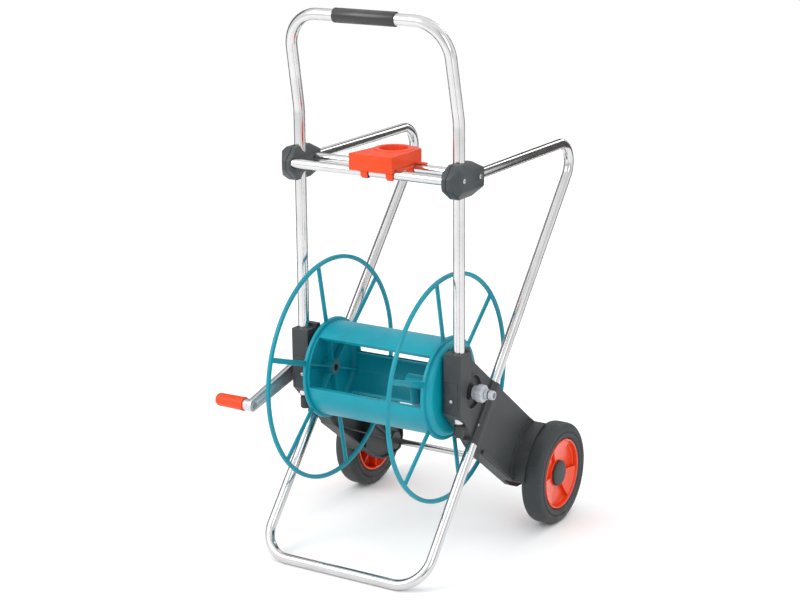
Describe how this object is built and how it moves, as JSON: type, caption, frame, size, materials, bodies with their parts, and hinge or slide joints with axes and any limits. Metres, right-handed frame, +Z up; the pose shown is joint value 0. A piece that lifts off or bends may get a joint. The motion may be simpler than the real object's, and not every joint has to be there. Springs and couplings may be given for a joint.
{
  "type": "hose reel cart",
  "caption": "Wheeled garden hose cart: chromed tube frame, open hose drum with spoked flanges, hand crank, water swivel inlet and a clip-on tray.",
  "frame": {"origin": "middle of the outer box at ground level, where the wheels and the foot bar stand", "axes": "+X points to the water inlet side, -Y to the front where the foot bar is, +Y to the wheels, +Z up"},
  "size_m": [0.4698, 0.5639, 0.9504],
  "materials": {
    "chrome_tube": "bright chromed tube",
    "black_sleeve": "satin black sleeve",
    "black_plastic": "satin black",
    "clamp_plastic": "dark blue-grey, satin",
    "grey_plastic": "dark grey, finely textured",
    "light_grey_plastic": "light grey, smooth",
    "bearing_plastic": "natural white bearing plastic",
    "seal_rubber": "black rubber",
    "steel_screw": "zinc plated",
    "teal_plastic": "moulded teal, semi-gloss",
    "teal_paint": "teal coated, semi-gloss",
    "crank_alloy": "satin aluminium",
    "orange_plastic": "orange-red, semi-gloss",
    "orange_rim": "orange-red, glossy",
    "tyre_rubber": "dark grey solid rubber"
  },
  "bodies": {
    "frame": {"handle_tube": "chrome_tube", "handle_sleeve": "black_sleeve", "post_end_caps": "black_plastic", "support_tube": "chrome_tube", "crossbar_front": "chrome_tube", "crossbar_rear": "chrome_tube", "clamp_left_inner": "clamp_plastic", "clamp_left_outer": "clamp_plastic", "clamp_right_inner": "clamp_plastic", "clamp_right_outer": "clamp_plastic", "clamp_bolts": "steel_screw", "side_plate_left": "grey_plastic", "side_plate_right": "grey_plastic", "post_cover_left": "grey_plastic", "post_cover_right": "grey_plastic", "tube_clip_left": "grey_plastic", "tube_clip_right": "grey_plastic", "housing_screws": "steel_screw", "drive_bush": "black_plastic", "water_spigot": "black_plastic", "spigot_seals": "seal_rubber", "inlet_collar": "light_grey_plastic", "inlet_nipple": "light_grey_plastic", "inlet_seal": "seal_rubber", "wheel_axle": "chrome_tube", "wheel_spacers": "black_plastic", "axle_retainers": "steel_screw"},
    "drum": {"drum_shell": "teal_plastic", "flange_left": "teal_paint", "flange_right": "teal_paint", "spigot_bush": "bearing_plastic", "swivel_elbow": "black_plastic", "hose_nipple": "light_grey_plastic", "elbow_screws": "steel_screw", "drive_shaft": "steel_screw", "shaft_washer": "steel_screw", "crank_arm": "crank_alloy", "crank_screw": "steel_screw", "crank_ferrule": "crank_alloy", "crank_pin": "steel_screw"},
    "crank_grip": {"crank_grip": "orange_plastic"},
    "wheel_left": {"tyre_left": "tyre_rubber", "rim_left": "orange_rim", "hub_cap_left": "grey_plastic"},
    "wheel_right": {"tyre_right": "tyre_rubber", "rim_right": "orange_rim", "hub_cap_right": "grey_plastic"},
    "tray": {"tray": "orange_plastic"}
  },
  "joints": [
    {"name": "drum_spin", "type": "hinge", "parent": "frame", "child": "drum", "pos_m": [0.0179, -0.08202, 0.309], "axis": [1, 0, 0], "continuous": true},
    {"name": "crank_grip_spin", "type": "hinge", "parent": "drum", "child": "crank_grip", "pos_m": [-0.2061, -0.23987, 0.27256], "axis": [1, 0, 0], "continuous": true},
    {"name": "wheel_left_spin", "type": "hinge", "parent": "frame", "child": "wheel_left", "pos_m": [-0.1796, 0.15898, 0.093], "axis": [1, 0, 0], "continuous": true},
    {"name": "wheel_right_spin", "type": "hinge", "parent": "frame", "child": "wheel_right", "pos_m": [0.2154, 0.15898, 0.093], "axis": [1, 0, 0], "continuous": true},
    {"name": "tray_slide", "type": "slide", "parent": "frame", "child": "tray", "axis": [1, 0, 0], "range_m": [-0.105, 0.055]}
  ]
}
